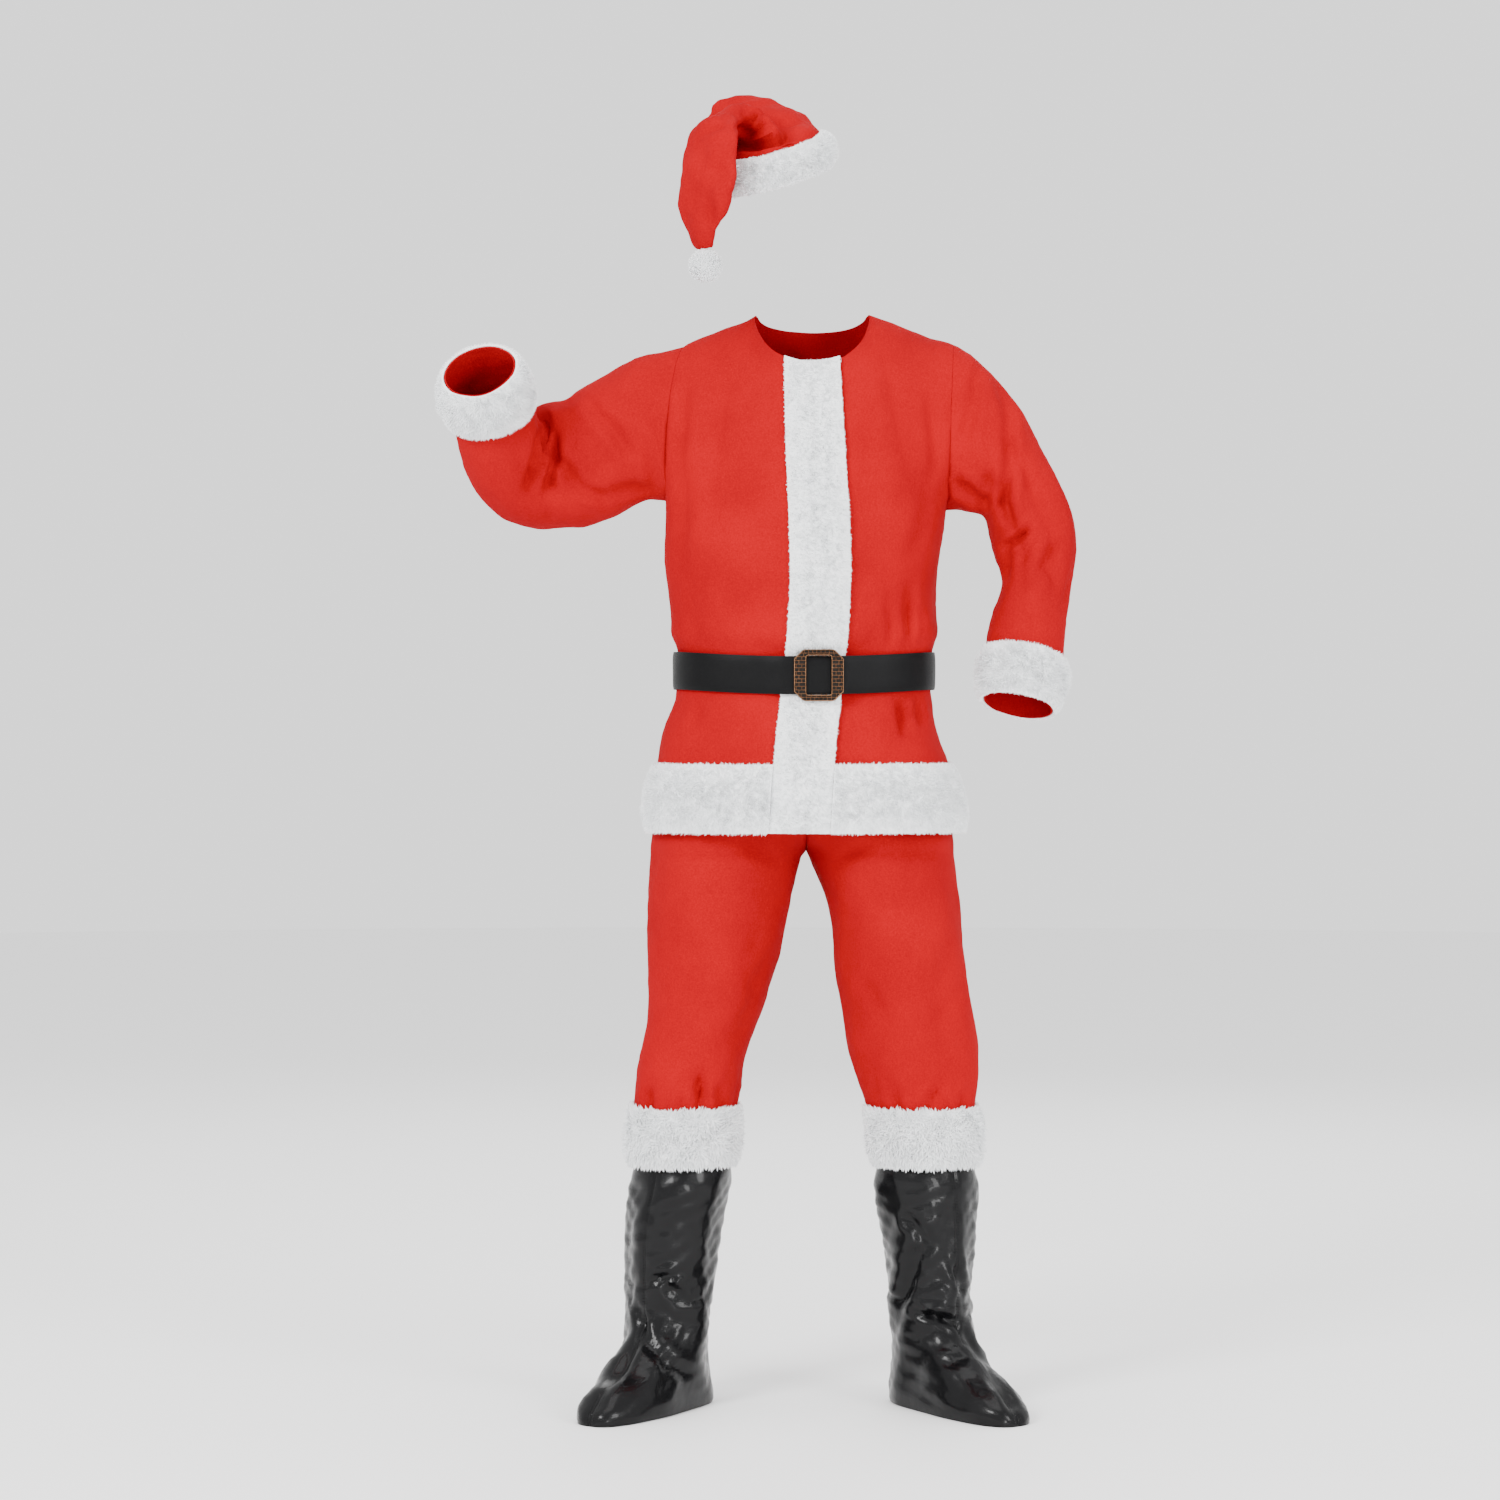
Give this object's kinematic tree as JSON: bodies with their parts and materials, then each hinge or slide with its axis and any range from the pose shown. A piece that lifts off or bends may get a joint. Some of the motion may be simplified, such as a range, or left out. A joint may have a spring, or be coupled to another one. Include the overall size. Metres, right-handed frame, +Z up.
{
  "type": "santa suit",
  "caption": "Worn, hollow fleece suit with plush fur bands: belted jacket with one arm raised, trousers over boot covers, and a hat that falls to one side.",
  "frame": {"origin": "between the shoulders at the height of the shoulder seams, where the wearer holds the suit up", "axes": "+Z up the wearer, +X to the wearer's left, -Y to the front"},
  "size_m": [0.9166, 0.3691, 1.9049],
  "materials": {
    "red_cloth": "matte napped fleece",
    "white_fur": "short plush pile",
    "black_strap": "semi-matte coated strap",
    "black_vinyl": "glossy coated cloth",
    "brass": "antique, dark in its recesses"
  },
  "bodies": {
    "root": {"jacket_front_right": "red_cloth", "jacket_front_left": "red_cloth", "jacket_back": "red_cloth", "sleeve_right": "red_cloth", "sleeve_left": "red_cloth", "leg_front_right": "red_cloth", "leg_front_left": "red_cloth", "leg_back_right": "red_cloth", "leg_back_left": "red_cloth", "waistband": "red_cloth", "hat_crown": "red_cloth", "front_fur": "white_fur", "hem_fur": "white_fur", "cuff_fur_right": "white_fur", "cuff_fur_left": "white_fur", "leg_fur_right": "white_fur", "leg_fur_left": "white_fur", "hat_fur": "white_fur", "pompom": "white_fur", "belt_strap": "black_strap", "belt_buckle": "brass", "boot_outer_right": "black_vinyl", "boot_inner_right": "black_vinyl", "boot_outer_left": "black_vinyl", "boot_inner_left": "black_vinyl"}
  },
  "joints": []
}
